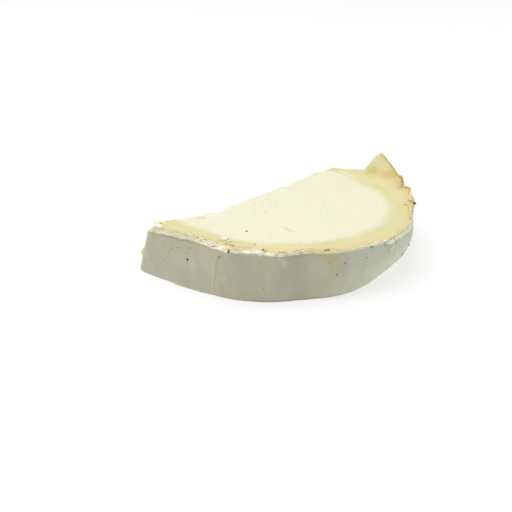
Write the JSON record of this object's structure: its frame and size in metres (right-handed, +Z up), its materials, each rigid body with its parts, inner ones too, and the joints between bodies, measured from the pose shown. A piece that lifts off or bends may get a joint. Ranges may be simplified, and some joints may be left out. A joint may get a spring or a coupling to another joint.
{
  "type": "half slice of soft goat's cheese",
  "caption": "Thick half slice cut across a round of soft goat's cheese: chalky paste with a darker ring under a pale bloomy rind, with a corner curled up.",
  "frame": {"origin": "centre of the cheese round that the slice was cut from, on the flat face that the slice rests on", "axes": "+Z up, +X along the straight break, -Y towards the middle of the curved rind"},
  "size_m": [0.0886, 0.0672, 0.0228],
  "materials": {
    "paste": "soft moist cheese, chalky ivory in the middle and straw yellow under the rind",
    "rind": "thin dry white bloom, matte"
  },
  "bodies": {
    "root": {"cheese_slice": "paste"}
  },
  "joints": []
}
